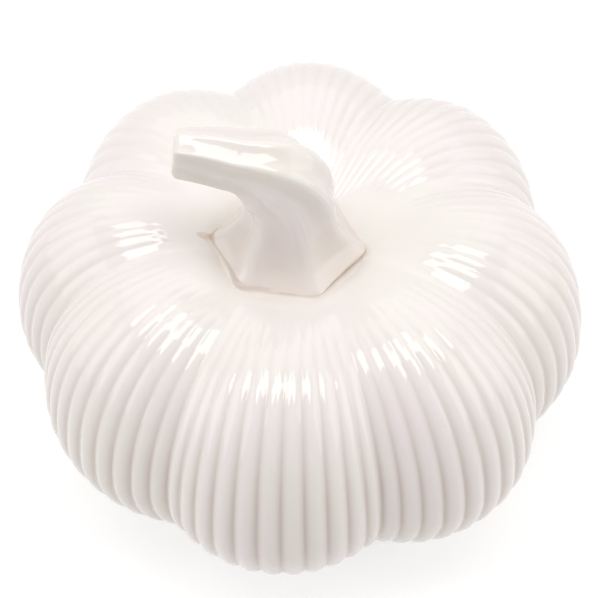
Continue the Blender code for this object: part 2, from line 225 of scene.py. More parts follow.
# %% Section of the body
CREST_RADIUS = 0.1000
BELLY_HEIGHT = 0.0480     # widest level above the flat base
TOP_RISE = 0.0562         # highest ring of a lobe above the widest level
CROWN_RADIUS = 0.0530     # radius of that ring
CROWN_DEPTH = 0.0135      # dip of the crown in the middle, below that ring
KEEL_RADIUS = 0.0364      # radius where the lower curve would turn level
KEEL_BELOW_BASE = 0.0060  # depth under the base where it would do so
SHOULDER_POWER = 2.17     # 2 is an ellipse, more is squarer
BELLY_POWER = 1.85
DISH_POWER = 3.4          # how steeply the crown leaves its middle
GROOVE_SIDE_DEPTH = 0.0090
GROOVE_TOP_DEPTH = 0.0103
GROOVE_KEEL_LIFT = 0.0044
GROOVE_PULL_IN = 0.0013   # inward shift of the highest ring and the keel
WALL = 0.0050
FLOOR = 0.0060
CROWN_Z = BELLY_Z + TOP_RISE - CROWN_DEPTH
BASE_Z = BELLY_Z - BELLY_HEIGHT


def outline(station, groove, inset):
    """Radius and height of the section: crown 0 to 1, shoulder 1 to 2, lower belly 2 to 3 at the base."""
    side = CREST_RADIUS - inset - groove * GROOVE_SIDE_DEPTH
    top = TOP_RISE - inset - groove * GROOVE_TOP_DEPTH
    crown = CROWN_RADIUS - groove * GROOVE_PULL_IN
    keel = KEEL_RADIUS - groove * GROOVE_PULL_IN
    base = BELLY_HEIGHT - (FLOOR if inset else 0.0)
    depth = base + KEEL_BELOW_BASE - groove * GROOVE_KEEL_LIFT
    if station < 1.0:
        middle = TOP_RISE - inset - CROWN_DEPTH
        rise = math.sin(0.5 * math.pi * max(station, 0.0)) ** DISH_POWER
        return crown * station, BELLY_Z + middle + (top - middle) * rise
    if station < 2.0:
        angle = 0.5 * math.pi * (station - 1.0)
        radius = crown + (side - crown) * math.sin(angle) ** (2.0 / SHOULDER_POWER)
        return radius, BELLY_Z + top * math.cos(angle) ** (2.0 / SHOULDER_POWER)
    last = math.asin((base / depth) ** (0.5 * BELLY_POWER))
    angle = last * (station - 2.0)
    radius = keel + (side - keel) * math.cos(angle) ** (2.0 / BELLY_POWER)
    return radius, BELLY_Z - depth * math.sin(angle) ** (2.0 / BELLY_POWER)


print("base edge on a crest, mm:", round(1000 * outline(3.0, 0.0, 0.0)[0], 1))

# %% [markdown]
# ## Lobes
#
# Eight grooves part the lobes, and a hand-made model leaves them a little uneven, so each has its own
# azimuth and each lobe its own reach. A groove starts on the smooth crown, soft and shallow, and sharpens
# to a crease on the sides. An azimuth turns from the front towards the right.

# %% Lobes
GROOVE_AZIMUTHS = (17.3, 63.0, 109.3, 153.8, 197.7, 242.2, 282.3, 329.3)      # degrees
LOBE_REACH = (0.0013, -0.0008, -0.0003, -0.0020, -0.0006, 0.0001, -0.0024, 0.0007)
GROOVE_SOFTNESS = 0.030   # on the sides, where 0 would be a sharp crease
GROOVE_TOP_SOFTNESS = 0.30
GROOVE_POWER = 1.10
GROOVE_START, GROOVE_FULL = 0.30, 1.65        # stations of the section
LOBES = len(GROOVE_AZIMUTHS)


def smooth_step(low, high, value):
    """0 below low, 1 above high, and a smooth ramp between them."""
    share = min(max((value - low) / (high - low), 0.0), 1.0)
    return share * share * (3.0 - 2.0 * share)


def groove_rise(station):
    """0 on the smooth crown, and 1 where the grooves are at their full depth."""
    return smooth_step(GROOVE_START, GROOVE_FULL, station)


def groove_share(across, station):
    """0 on a lobe's crest and 1 in the groove; across runs from 0 to 1 over the lobe."""
    softness = GROOVE_TOP_SOFTNESS + (GROOVE_SOFTNESS - GROOVE_TOP_SOFTNESS) * groove_rise(station)
    bulge = math.hypot(math.sin(math.pi * across), softness)
    full = math.hypot(1.0, softness)
    return max((full - bulge) / (full - softness), 0.0) ** GROOVE_POWER


print("groove depth at the top, mm:", round(1000 * GROOVE_TOP_DEPTH * groove_rise(1.0), 1))

# %% [markdown]
# ## Ribs
#
# Each lobe has eleven ribs like reeds, broad and round with a narrow valley between, that stand closer near
# a groove. They rise out of the smooth crown and fade at the base. They aren't the same all round: they rise
# steeply at the front and gently at the back, and at the back right they start nearer the stem. A bump map
# could draw ribs, but then the outline would be smooth, so they are real geometry.

# %% Ribs
RIBS_PER_LOBE = 11
RIB_DEPTH = 0.00125
RIB_SOFTNESS = 0.05       # glaze rounds off the bottom of a valley
RIB_TOP_SOFTNESS = 0.20   # more so where the ribs are shallow
RIB_START, RIB_FADE = 0.75, 2.20    # stations where they rise from the crown and begin to fade
RIB_START_SWING = 0.48    # they start so much nearer the stem at the back right
RIB_POWER_SWING = 0.62    # and rise so much more evenly there
RIB_SWING_TURN = math.radians(150.0)
RIB_SWING_SHARPNESS = 4
RIB_FULL = (1.75, 2.50)   # station of their full depth, at the front and at the back
RIB_RISE_POWER = (1.05, 1.70)       # 1 would deepen them evenly


def rib_depth_at(station, azimuth):
    """Depth of the valleys between ribs along the section."""
    swing = max(math.cos(azimuth - RIB_SWING_TURN), 0.0) ** RIB_SWING_SHARPNESS
    start = RIB_START - RIB_START_SWING * swing
    back_share = 0.5 - 0.5 * math.cos(azimuth)
    full = RIB_FULL[0] + (RIB_FULL[1] - RIB_FULL[0]) * back_share
    power = RIB_RISE_POWER[0] + (RIB_RISE_POWER[1] - RIB_RISE_POWER[0]) * back_share
    power -= RIB_POWER_SWING * swing
    rise = min(max((station - start) / (full - start), 0.0), 1.0)
    return RIB_DEPTH * rise ** power * (1.0 - smooth_step(RIB_FADE, 3.0, station))


def rib_dip(rib, station, azimuth):
    """Dip below the crests of the ribs, which is deepest on whole numbers."""
    depth = rib_depth_at(station, azimuth)
    softness = RIB_TOP_SOFTNESS + (RIB_SOFTNESS - RIB_TOP_SOFTNESS) * depth / RIB_DEPTH
    round_over = math.hypot(math.sin(math.pi * rib), softness) - softness
    return depth * (1.0 - round_over / (math.hypot(1.0, softness) - softness))


print("ribs in all:", LOBES * RIBS_PER_LOBE)

# %% [markdown]
# ## Places on the body
#
# A place on the body has three numbers: the station along the section, the lobe, and the rib on that lobe,
# where whole numbers are valleys. A rib's dip is taken square to the section, so that a rib is as deep on the
# shoulder as on the side.

# %% Places on the body
RIB_CROWDING = 0.65       # how much closer the ribs stand near a groove
TINY = 1e-4               # station step for a slope


def polar(radius, azimuth):
    """X and Y at an azimuth in radians, which turns from the front (-Y) towards the right (+X)."""
    return radius * math.sin(azimuth), -radius * math.cos(azimuth)


def across_lobe(lobe, rib):
    """Share of the lobe's width and azimuth for a rib number from 0 to RIBS_PER_LOBE on a lobe."""
    even = 2.0 * rib / RIBS_PER_LOBE - 1.0
    across = 0.5 + 0.5 * math.sin(RIB_CROWDING * even) / math.sin(RIB_CROWDING)
    start = GROOVE_AZIMUTHS[lobe]
    width = (GROOVE_AZIMUTHS[(lobe + 1) % LOBES] - start) % 360.0
    return across, math.radians(start + across * width)


def body_point(station, lobe, rib, inset):
    """Point on the body's outside, or on the inside of its wall."""
    across, azimuth = across_lobe(lobe, rib)
    share = groove_share(across, station)
    groove = share * groove_rise(station)
    radius, height = outline(station, groove, inset)
    if inset == 0.0:
        before = outline(station - TINY, groove, inset)
        after = outline(min(station + TINY, 3.0), groove, inset)
        run, drop = after[0] - before[0], before[1] - after[1]
        dip = rib_dip(rib, station, azimuth) / math.hypot(run, drop)
        radius -= dip * drop
        height -= dip * run
    radius *= 1.0 + (1.0 - share) * LOBE_REACH[lobe] / CREST_RADIUS
    return Vector((*polar(radius, azimuth), height))


print("front of the body, mm:", [round(1000 * x, 1) for x in body_point(2.0, 7, 0.5 * RIBS_PER_LOBE, 0.0)])

# %% [markdown]
# ## Rows of the body
#
# The form could be lathed in one go, but then all its ribs would be even. So the section is first listed as
# rows: from the middle of the crown over the outside, the foot, its recess and the casting hole to the
# inside of the crown. The wiped edges under the base are slightly rounded. One function then says where a
# row lies at any rib of any lobe.

# %% Rows of the body
CROWN_ROWS, SHOULDER_ROWS, BELLY_ROWS, INSIDE_ROWS = 18, 30, 24, 14
UNDER_SHARES = (0.02, 0.5, 0.95)    # rows from the base's edge to the recess
RECESS_RADIUS = 0.0380
RECESS_DEPTH = 0.0020
RECESS_MIDDLE = 0.7       # one more row, as a share of the recess's radius
POUR_HOLE_RADIUS = 0.0150
EDGE = 0.0006             # rounding of the wiped edges
RECESS_Z = BASE_Z + RECESS_DEPTH
FLOOR_TOP_Z = BASE_Z + FLOOR

rows = [("outside", row / CROWN_ROWS) for row in range(CROWN_ROWS)]
rows += [("outside", 1.0 + row / SHOULDER_ROWS) for row in range(SHOULDER_ROWS)]
rows += [("outside", 2.0 + row / BELLY_ROWS) for row in range(BELLY_ROWS + 1)]
glazed_rows = len(rows)
rows += [("under", share) for share in UNDER_SHARES]
rows += [("ring", ring) for ring in (
    (RECESS_RADIUS + EDGE, BASE_Z), (RECESS_RADIUS, BASE_Z + EDGE), (RECESS_RADIUS, RECESS_Z),
    (RECESS_MIDDLE * RECESS_RADIUS, RECESS_Z), (POUR_HOLE_RADIUS + EDGE, RECESS_Z),
    (POUR_HOLE_RADIUS, RECESS_Z + EDGE), (POUR_HOLE_RADIUS, FLOOR_TOP_Z - EDGE),
    (POUR_HOLE_RADIUS + EDGE, FLOOR_TOP_Z))]
rows += [("inside", 3.0 - 3.0 * row / INSIDE_ROWS) for row in range(INSIDE_ROWS + 1)]


def row_point(row, lobe, rib):
    """Point of one row of the section at a rib of a lobe."""
    kind, at = rows[row]
    if kind == "outside":
        return body_point(at, lobe, rib, 0.0)
    if kind == "inside":
        return body_point(at, lobe, rib, WALL)
    azimuth = across_lobe(lobe, rib)[1]
    if kind == "ring":
        return Vector((*polar(at[0], azimuth), at[1]))
    edge = body_point(3.0, lobe, rib, 0.0)
    foot = Vector((*polar(RECESS_RADIUS + EDGE, azimuth), BASE_Z))
    return edge.lerp(foot, at)


print("rows in the section:", len(rows), "of which glazed:", glazed_rows)

# %% [markdown]
# ## Body
#
# The rows become one line of points, which is spun through one lobe, and that wedge is copied round. Each
# point remembers its row and its lobe.

# %% Spin and copy the wedge
STEPS_PER_RIB = 10

form = bmesh.new()
row_of = form.verts.layers.int.new("row")
lobe_of = form.verts.layers.int.new("lobe")
pool_and_shade_of = form.verts.layers.float.new("glaze_pool_and_shade")
section = []
for row in range(len(rows)):
    start = row_point(row, 0, 0.0)
    point = form.verts.new((math.hypot(start.x, start.y), 0.0, start.z))
    point[row_of] = row
    section.append(point)
lines = [form.edges.new(pair) for pair in zip(section, section[1:])]
steps = RIBS_PER_LOBE * STEPS_PER_RIB
wedge = math.tau / LOBES
bmesh.ops.spin(form, geom=section + lines, cent=(0.0, 0.0, 0.0), axis=(0.0, 0.0, 1.0),
               angle=wedge, steps=steps)
first = form.verts[:] + form.edges[:] + form.faces[:]
for lobe in range(1, LOBES):
    copy = bmesh.ops.duplicate(form, geom=first)["geom"]
    points = [item for item in copy if isinstance(item, bmesh.types.BMVert)]
    bmesh.ops.rotate(form, verts=points, cent=(0.0, 0.0, 0.0), matrix=Matrix.Rotation(lobe * wedge, 3, "Z"))
    for point in points:
        point[lobe_of] = lobe
print("points round the body:", LOBES * steps)

# %% [markdown]
# A finished bmesh becomes an object of the model with the next helper. The object rides on the model and
# takes the place of one node of the CAD model, which is hidden; it gets the materials it is given.

# %% Helper for pieces
def add_piece(name, form, materials, node):
    """Object from a bmesh, which rides on the model and stands for one CAD node."""
    mesh = bpy.data.meshes.new(name)
    form.to_mesh(mesh)
    form.free()
    for material in materials:
        mesh.materials.append(material)
    mesh.shade_smooth()
    piece = bpy.data.objects.new(name, mesh)
    bpy.context.scene.collection.objects.link(piece)
    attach(piece, "root")
    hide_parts(node)
    print(name, "has", sum(len(p.vertices) - 2 for p in mesh.polygons), "triangles")
    return piece


print("the model has one body, root, that every piece rides on")

# %% [markdown]
# Now each point is pressed into its place on the lobes and the ribs. It also gets its share of the deeper
# tone, partly thicker glaze and partly painted shade: most of it at the bottom of a valley between ribs,
# and some as painted shade in the crevice at the left of the stem's foot. The copies' edges are merged,
# and the wiped faces get bare clay.

# %% Press the body into shape
STEM_OFFSET = (-0.0040, -0.0050)
STEM_FOOT_RADIUS = 0.0265
VALLEY_POWER = 1.6        # keeps the deeper tone to the bottom of a valley
# Painted shade in the crevice at the left of the stem's foot, tinted like thicker glaze.
CREVICE_POOL_AND_SHADE = 0.43       # share of the deeper tone at the left of the stem's foot
CREVICE_REACH = 0.0034    # distance over which it fades out
WELD = 2e-5               # points nearer than this are one

for point in form.verts:
    turned = math.atan2(point.co.y, point.co.x) % math.tau
    step = round(turned / wedge * steps) - point[lobe_of] * steps
    rib = (step % (LOBES * steps)) / STEPS_PER_RIB
    lobe, rib = (point[lobe_of], rib) if point.co.x or point.co.y else (0, 0.0)
    point.co = row_point(point[row_of], lobe, rib)
    kind, at = rows[point[row_of]]
    if kind == "outside":
        # Painted shade: darker valleys between ribs, and a darker crevice at the left of the foot.
        valley = (rib_dip(rib, at, across_lobe(lobe, rib)[1]) / RIB_DEPTH) ** VALLEY_POWER
        away = point.co.xy - Vector(STEM_OFFSET)
        leftward = max(-away.normalized().x, 0.0)
        off_foot = max(away.length - STEM_FOOT_RADIUS, 0.0)
        crevice = CREVICE_POOL_AND_SHADE * leftward * math.exp(-off_foot / CREVICE_REACH)
        point[pool_and_shade_of] = min(valley + crevice, 1.0)
bmesh.ops.remove_doubles(form, verts=form.verts, dist=WELD)
bmesh.ops.recalc_face_normals(form, faces=form.faces)
for face in form.faces:
    face.material_index = int(max(point[row_of] for point in face.verts) >= glazed_rows)
print("body closed:", all(edge.is_manifold for edge in form.edges))
add_piece("ribbed_body", form, [body_glaze, bisque], "body_shell")

# %% [markdown]
# ## Stem
#
# The stem was pressed in its own small mould. It flares into a six-cornered foot, twists as it rises, and
# bends over to the left, where one corner sinks into a flat and the bar goes on with five. The end is cut
# square. It could be a curve with a bevel shape, but that keeps one section all along. So it is drawn as a
# ring that is extruded again and again, and each new ring gets its own place, lean, size and corners.
# First comes the centre line: it sways a little to the right and the front, then bends.

# %% Path of the stem
STEM_FOOT_EDGE = 0.0005
STEM_BEND_START, STEM_BEND_END, STEM_LENGTH = 0.0287, 0.0677, 0.0866
STEM_BEND_ANGLE, STEM_TIP_ANGLE = 73.5, 84.0
STEM_SWAY, STEM_SWAY_END = (0.0030, -0.0060), 0.0397
JOINT_DEPTH = 0.0014      # slip and its two gaps
PATH_STEPS = 60
FOOT_SEAT = outline(STEM_FOOT_RADIUS / CROWN_RADIUS, 0.0, 0.0)[1] - CROWN_Z
FOOT_LEVEL = FOOT_SEAT + JOINT_DEPTH + STEM_FOOT_EDGE


def stem_lean(along):
    """Lean of the stem's section to the left, in radians."""
    bend = STEM_BEND_ANGLE * smooth_step(STEM_BEND_START, STEM_BEND_END, along)
    tip = (STEM_TIP_ANGLE - STEM_BEND_ANGLE) * smooth_step(STEM_BEND_END, STEM_LENGTH, along)
    return math.radians(bend + tip)


def stem_centre(along):
    """Point on the stem's centre line, reached in short steps from the middle of the crown."""
    point = Vector((*STEM_OFFSET, CROWN_Z))
    stride = along / PATH_STEPS
    for step in range(PATH_STEPS):
        lean = stem_lean((step + 0.5) * stride)
        point += stride * Vector((-math.sin(lean), 0.0, math.cos(lean)))
    return point + smooth_step(FOOT_LEVEL, STEM_SWAY_END, along) * Vector((*STEM_SWAY, 0.0))


print("tip of the stem, mm:", [round(1000 * x, 1) for x in stem_centre(STEM_LENGTH)])

# %% [markdown]
# Next the section. A table gives each corner its azimuth and reach at the foot and on the arm, and each flat
# between two corners its hollow. The left flat is hollowed deeply at the foot and hardly above it. The
# corners are rounded by averaging five places along the outline.

# %% Section of the stem
STEM_FLARE = 0.0075       # height in which the foot draws in
STEM_NECK_RADIUS = 0.0164
STEM_ARM_RADIUS = 0.0109
STEM_TIP_RADIUS = 0.0083
STEM_KNEE = 0.0482        # where the neck begins to thin
STEM_TIP_ROUND = 0.0022
STEM_HOLLOW, STEM_STALK_HOLLOW = 0.040, 0.105
STEM_CORNER_ROUND, STEM_STALK_ROUND = 0.125, 0.175
STEM_CORNERS = (          # azimuth and reach at the foot, then on the arm; of the flat that follows:
    (83.0, 1.05, 36.0, 1.00, 1.0, 1.0),       # hollow above the foot, and at the foot
    (144.0, 1.00, 84.0, 1.00, 1.0, 1.0),
    (204.0, 1.00, 146.0, 1.00, 1.0, 1.0),
    (264.0, 1.02, 221.0, 1.00, 0.1, 2.1),
    (320.0, 1.05, 296.0, 1.10, 1.2, 1.2),
    (383.0, 1.00, 341.0, 0.65, 1.0, 1.0))
STEM_ARM_TWIST = 11.0     # degrees of turn along the arm
ROUNDING = ((-1.0, 0.125), (-0.5, 0.25), (0.0, 0.25), (0.5, 0.25), (1.0, 0.125))    # shift and weight


def arm_share(along):
    """0 up to the end of the bend, and 1 at the tip."""
    return max(along - STEM_BEND_END, 0.0) / (STEM_LENGTH - STEM_BEND_END)


def foot_share(along):
    """1 at the foot, and less and less up the flare."""
    return math.exp(-max(along - FOOT_LEVEL, 0.0) / STEM_FLARE)


def stem_radius(along):
    """Reach of the corners: flared foot, neck, arm and rounded tip."""
    radius = STEM_NECK_RADIUS
    radius += (STEM_ARM_RADIUS - STEM_NECK_RADIUS) * smooth_step(STEM_KNEE, STEM_BEND_END, along)
    radius += (STEM_TIP_RADIUS - STEM_ARM_RADIUS) * arm_share(along)
    radius += (STEM_FOOT_RADIUS - STEM_NECK_RADIUS) * foot_share(along)
    past = max(along - STEM_LENGTH + STEM_TIP_ROUND, 0.0) / STEM_TIP_ROUND
    return radius - STEM_TIP_ROUND * (1.0 - math.sqrt(max(1.0 - past * past, 0.0)))


def stem_section(along, angle):
    """Point of the stem's section, with X outwards from the bend and Y to the back."""
    turn = min(max((along - FOOT_LEVEL) / (STEM_BEND_END - FOOT_LEVEL), 0.0), 1.0)
    climb = smooth_step(0.0, 1.0, turn)
    middle = math.sin(math.pi * turn)
    hollow = STEM_HOLLOW + STEM_STALK_HOLLOW * middle
    rounding = STEM_CORNER_ROUND + STEM_STALK_ROUND * middle
    low = foot_share(along)
    corners = []
    for foot_azimuth, foot_reach, arm_azimuth, arm_reach, *_ in STEM_CORNERS:
        azimuth = foot_azimuth + (arm_azimuth - foot_azimuth) * climb + STEM_ARM_TWIST * arm_share(along)
        reach = foot_reach + (arm_reach - foot_reach) * climb
        corners.append(Vector(polar(reach, math.radians(azimuth))))
    point = Vector((0.0, 0.0))
    for shift, weight in ROUNDING:
        place = len(corners) * angle / math.tau + shift * rounding
        number = math.floor(place) % len(corners)
        along_flat = place - math.floor(place)
        flat = corners[number].lerp(corners[(number + 1) % len(corners)], along_flat)
        hollow_above, hollow_at_foot = STEM_CORNERS[number][4:]
        draw_in = hollow * (hollow_above + (hollow_at_foot - hollow_above) * low)
        point += weight * (1.0 - 4.0 * draw_in * along_flat * (1.0 - along_flat)) * flat
    return stem_radius(along) * point


def stem_point(along, angle):
    """Point on the stem's outside."""
    lean, point = stem_lean(along), stem_section(along, angle)
    return stem_centre(along) + Vector((math.cos(lean) * point.x, point.y, math.sin(lean) * point.x))


print("stem length along its centre line, mm:", round(1000 * STEM_LENGTH, 1))

# %% [markdown]
# The foot isn't flat: its edge follows the dished crown. So a small function gives the crown's height at any
# place, and later the lowest ring is set on it, with room for the slip.

# %% Crown under the foot
def crown_height(x, y):
    """Height of the body's crown at a place on it."""
    azimuth = math.degrees(math.atan2(x, -y)) % 360.0
    lobe = max(range(LOBES), key=lambda i: -((azimuth - GROOVE_AZIMUTHS[i]) % 360.0))
    width = (GROOVE_AZIMUTHS[(lobe + 1) % LOBES] - GROOVE_AZIMUTHS[lobe]) % 360.0
    across = ((azimuth - GROOVE_AZIMUTHS[lobe]) % 360.0) / width
    station = math.hypot(x, y) / CROWN_RADIUS
    share = groove_share(across, station)
    reach = 1.0 + (1.0 - share) * LOBE_REACH[lobe] / CREST_RADIUS
    return outline(station / reach, share * groove_rise(station), 0.0)[1]


print("crown under the middle of the foot, mm:", round(1000 * crown_height(*STEM_OFFSET), 1))

# %% [markdown]
# The rings stand closest where the form turns quickest: in the flare of the foot, in the bend and at the
# rounded end.

# %% Rings of the stem
STALK_RINGS, BEND_RINGS, ARM_RINGS, TIP_RINGS = 30, 36, 24, 10
STALK_CROWDING = 1.4      # rings stand closer in the flare of the foot


def between(low, high, count, power=1.0):
    """Places from low up to, but not at, high."""
    return [low + (high - low) * (i / count) ** power for i in range(count)]


arm_end = STEM_LENGTH - STEM_TIP_ROUND
stations = between(FOOT_LEVEL, STEM_BEND_START, STALK_RINGS, STALK_CROWDING)
stations += between(STEM_BEND_START, STEM_BEND_END, BEND_RINGS)
stations += between(STEM_BEND_END, arm_end, ARM_RINGS)
stations += [arm_end + STEM_TIP_ROUND * math.sin(0.5 * math.pi * i / TIP_RINGS) for i in range(TIP_RINGS)]
print("rings of the stem:", len(stations))

# %% [markdown]
# Each ring is extruded from the one before. The foot and the hollow flats get a share of the deeper tone,
# thicker glaze and painted shade in these recesses, and both ends are closed with a face.

# %% Stem
STEM_SIDES = 20 * len(STEM_CORNERS)
# Painted shade, with thicker glaze, darkens the hollow flats and the foot.
FLAT_POOL_AND_SHADE, FOOT_POOL_AND_SHADE = 0.25, 0.5    # shares of the deeper tone in a flat and at the foot
FOOT_POOL_AND_SHADE_REACH = 0.006

form = bmesh.new()
angle_of = form.verts.layers.float.new("angle")
pool_and_shade_of = form.verts.layers.float.new("glaze_pool_and_shade")
ring = bmesh.ops.create_circle(form, segments=STEM_SIDES, radius=1.0)["verts"]
for point in ring:
    angle = math.atan2(point.co.y, point.co.x)
    point[angle_of] = angle
    point[pool_and_shade_of] = 1.0
    point.co = stem_point(FOOT_LEVEL, angle)
    point.co.z = crown_height(point.co.x, point.co.y) + JOINT_DEPTH
edges = bottom = form.edges[:]
for along in stations:
    grown = bmesh.ops.extrude_edge_only(form, edges=edges)["geom"]
    edges = [item for item in grown if isinstance(item, bmesh.types.BMEdge)]
    for point in [item for item in grown if isinstance(item, bmesh.types.BMVert)]:
        angle = point[angle_of]
        point.co = stem_point(along, angle)
        flat = abs(math.sin(0.5 * len(STEM_CORNERS) * angle))
        low = math.exp(-(along - FOOT_LEVEL) / FOOT_POOL_AND_SHADE_REACH)
        point[pool_and_shade_of] = min(FLAT_POOL_AND_SHADE * flat + FOOT_POOL_AND_SHADE * low, 1.0)
bmesh.ops.edgeloop_fill(form, edges=edges)
bmesh.ops.edgeloop_fill(form, edges=bottom)
bmesh.ops.recalc_face_normals(form, faces=form.faces)
print("stem closed:", all(edge.is_manifold for edge in form.edges))
add_piece("twisted_stem", form, [stem_glaze], "stem")

# %% [markdown]
# ## Slip joint
#
# The stem was stuck on with slip, clay stirred to a cream. A little squeezed out round the foot and was wiped
# to an uneven film that thins out to nothing, and a tongue of it ran out under the left corner. The glaze over
# it is thin, so the cream shows through. Its deeper tone, most at the two sides, on the tongue and against the
# foot, is partly that cream and partly painted shade of the crevice under the foot. It is a ring that
# follows the foot's outline, extruded over the film's small section. Its outer edge dips just under the
# crown, so that no rim shows.

# %% Section of the slip
BEAD = (                  # out from the foot's edge, up from the crown, and share of the deeper tone
    (0.0034, -0.0002, 0.0), (0.0024, 0.0001, 0.1), (0.0014, 0.0003, 0.25), (0.0008, 0.0006, 0.4),
    (0.0003, 0.0011, 0.7), (-0.0001, 0.0014, 0.9), (-0.0008, 0.0012, 1.0), (-0.0030, 0.0008, 1.0),
    (-0.0030, 0.0003, 1.0))
BEAD_WIDTH, BEAD_UNEVENNESS = 0.7, 0.6        # mean share of the width, and its swing
BEAD_WAVES, BEAD_NOISE_LEVEL = 4.0, 1.7       # how often it swings, and where the noise is cut
# The bead's deeper tone is thin glaze over cream slip and painted shade of the crevice under the foot.
BEAD_POOL_AND_SHADE_FRONT, BEAD_POOL_AND_SHADE_SIDES = 0.6, 0.4   # deeper tone everywhere, and more of it at the sides
FILM_POOL_AND_SHADE = 0.30          # makes the film as deep in tone as the crown at its left
TONGUE_LENGTH = 0.0042    # slip that ran out under the left corner
TONGUE_WIDTH = 0.055      # radians
TONGUE_BLUNTNESS = 4      # 2 would be a thorn
TONGUE_POOL_AND_SHADE = 0.5


def tongue(angle):
    """1 in the middle of the tongue under the left corner, and 0 away from it."""
    return math.exp(-((abs(angle) - math.pi) / TONGUE_WIDTH) ** TONGUE_BLUNTNESS)


def bead_point(angle, out_by, up_by):
    """Point of the bead's section beside the foot's outline."""
    around = Vector((BEAD_WAVES * math.cos(angle), BEAD_WAVES * math.sin(angle), BEAD_NOISE_LEVEL))
    wobble = BEAD_WIDTH + BEAD_UNEVENNESS * noise.noise(around)
    foot = stem_section(FOOT_LEVEL, angle)
    spread = max(out_by, 0.0) * (wobble + TONGUE_LENGTH / BEAD[0][0] * tongue(angle))
    place = foot + (min(out_by, 0.0) + spread) * foot.normalized() + Vector(STEM_OFFSET)
    return Vector((*place, crown_height(*place) + up_by))


def bead_pool_and_shade(angle, pool_and_shade):
    """Share of the deeper tone on the bead, cream and painted shade: most at the sides and on the tongue."""
    film = FILM_POOL_AND_SHADE * max(-math.cos(angle), 0.0)
    thick = pool_and_shade * (BEAD_POOL_AND_SHADE_FRONT + BEAD_POOL_AND_SHADE_SIDES * math.cos(angle) ** 2)
    return min(max(thick, film) + TONGUE_POOL_AND_SHADE * math.sqrt(pool_and_shade) * tongue(angle), 1.0)


film = bead_point(0.0, *BEAD[0][:2]) - bead_point(0.0, 0.0, 0.0)
print("film at the right of the foot, mm:", round(1000 * film.length, 1))

# %% [markdown]
# The ring starts at the film's outer edge and is extruded inwards, over the bead and under the stem. The last
# ring is bridged to the first, so that the bead is closed. It has twice the stem's sides, for the tongue.

# %% Slip joint
BEAD_SIDES = 2 * STEM_SIDES

# Second colour: the cream and painted shade of the slip's deeper tone.
slip_glaze = glaze("thin_glaze_on_slip", "#CBB59C")
form = bmesh.new()
angle_of = form.verts.layers.float.new("angle")
pool_and_shade_of = form.verts.layers.float.new("glaze_pool_and_shade")
ring = bmesh.ops.create_circle(form, segments=BEAD_SIDES, radius=1.0)["verts"]
for point in ring:
    point[angle_of] = math.atan2(point.co.y, point.co.x)
    point.co = bead_point(point[angle_of], *BEAD[0][:2])
    point[pool_and_shade_of] = bead_pool_and_shade(point[angle_of], BEAD[0][2])
edges = bottom = form.edges[:]
for out_by, up_by, pool_and_shade in BEAD[1:]:
    grown = bmesh.ops.extrude_edge_only(form, edges=edges)["geom"]
    edges = [item for item in grown if isinstance(item, bmesh.types.BMEdge)]
    for point in [item for item in grown if isinstance(item, bmesh.types.BMVert)]:
        point.co = bead_point(point[angle_of], out_by, up_by)
        point[pool_and_shade_of] = bead_pool_and_shade(point[angle_of], pool_and_shade)
bmesh.ops.bridge_loops(form, edges=edges + bottom)
bmesh.ops.recalc_face_normals(form, faces=form.faces)
print("bead closed:", all(edge.is_manifold for edge in form.edges))
add_piece("slip_bead", form, [slip_glaze], "stem_slip_joint")

# %% [markdown]
# ## Felt pads
#
# Four discs of pressed wool felt keep the wiped foot from scratching a table. Felt has no weave: it is
# matted fibre, so its colour is flecked and its surface is slightly furry. Hair could be grown on it, but the
# pads are hardly seen, so noise does. The fibre is drawn 0.7 mm wide, coarser than wool, so that it shows.

# %% Felt material
FIBRE = 0.0007
NAP_HEIGHT = 0.0003

felt, tree, out = new_material("pressed_wool_felt")
place = add_node(tree, "ShaderNodeTexCoord", {}).outputs["Object"]
fibre = add_node(tree, "ShaderNodeTexNoise", {
    "Vector": place, "Scale": 1.0 / FIBRE, "Detail": 4.0, "Distortion": 1.5})
fleck = add_node(tree, "ShaderNodeMix", {
    0: fibre.outputs["Fac"], 6: linear("#A59A8A"), 7: linear("#857B6C")}, data_type="RGBA")
nap = add_node(tree, "ShaderNodeBump", {
    "Height": fibre.outputs["Fac"], "Strength": 0.8, "Distance": NAP_HEIGHT})
shader = add_node(tree, "ShaderNodeBsdfPrincipled", {
    "Base Color": fleck.outputs[2], "Roughness": 0.95, "IOR": 1.45, "Sheen Weight": 0.3,
    "Sheen Roughness": 0.5, "Normal": nap.outputs["Normal"]})
tree.links.new(shader.outputs["BSDF"], out.inputs["Surface"])
print("felt:", felt.name)

# %% [markdown]
# Each disc is a cone with two equal ends, whose rims are bevelled, because felt that is punched out of a sheet
# has soft edges. The pads stand under four of the lobes.

# %% Felt pads
PAD_RADIUS = 0.0070
PAD_THICKNESS = 0.0025
PAD_ROUND = 0.0006
PAD_SEGMENTS = 64
PAD_CIRCLE_RADIUS = 0.0500
PAD_LOBES = {"front": 7, "right": 1, "back": 3, "left": 5}

for side, lobe in PAD_LOBES.items():
    form = bmesh.new()
    bmesh.ops.create_cone(form, cap_ends=True, segments=PAD_SEGMENTS, radius1=PAD_RADIUS,
                          radius2=PAD_RADIUS, depth=PAD_THICKNESS)
    rims = [edge for edge in form.edges if abs(edge.verts[0].co.z - edge.verts[1].co.z) < 1e-6]
    bmesh.ops.bevel(form, geom=rims, offset=PAD_ROUND, offset_type="OFFSET", segments=4, profile=0.5,
                    affect="EDGES", material=-1)
    azimuth = across_lobe(lobe, 0.5 * RIBS_PER_LOBE)[1]
    middle = (*polar(PAD_CIRCLE_RADIUS, azimuth), 0.5 * PAD_THICKNESS)
    bmesh.ops.translate(form, verts=form.verts, vec=middle)
    pad = add_piece("felt_pad_" + side, form, [felt], "foot_pad_" + side)

